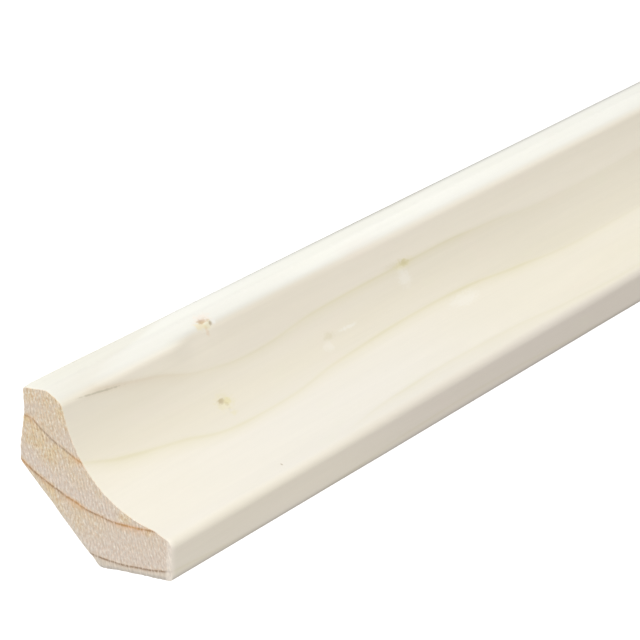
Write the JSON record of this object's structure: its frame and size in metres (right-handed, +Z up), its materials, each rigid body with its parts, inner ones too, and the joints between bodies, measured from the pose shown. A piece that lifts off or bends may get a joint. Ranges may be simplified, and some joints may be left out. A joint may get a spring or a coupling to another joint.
{
  "type": "cove moulding",
  "caption": "Length of raw softwood cove moulding with a hollow quarter-round front, square noses and a chamfered back, for a wall corner.",
  "frame": {"origin": "middle of the flat wall face, the tall back face that lies against the wall", "axes": "+X along the length, +Y out of the wall face into the wall, +Z up, so the cove faces -Y and up"},
  "size_m": [0.27, 0.028, 0.028],
  "materials": {
    "pine": "raw planed softwood, pale cream, with sawn end grain"
  },
  "bodies": {
    "root": {"cove_moulding": "pine"}
  },
  "joints": []
}
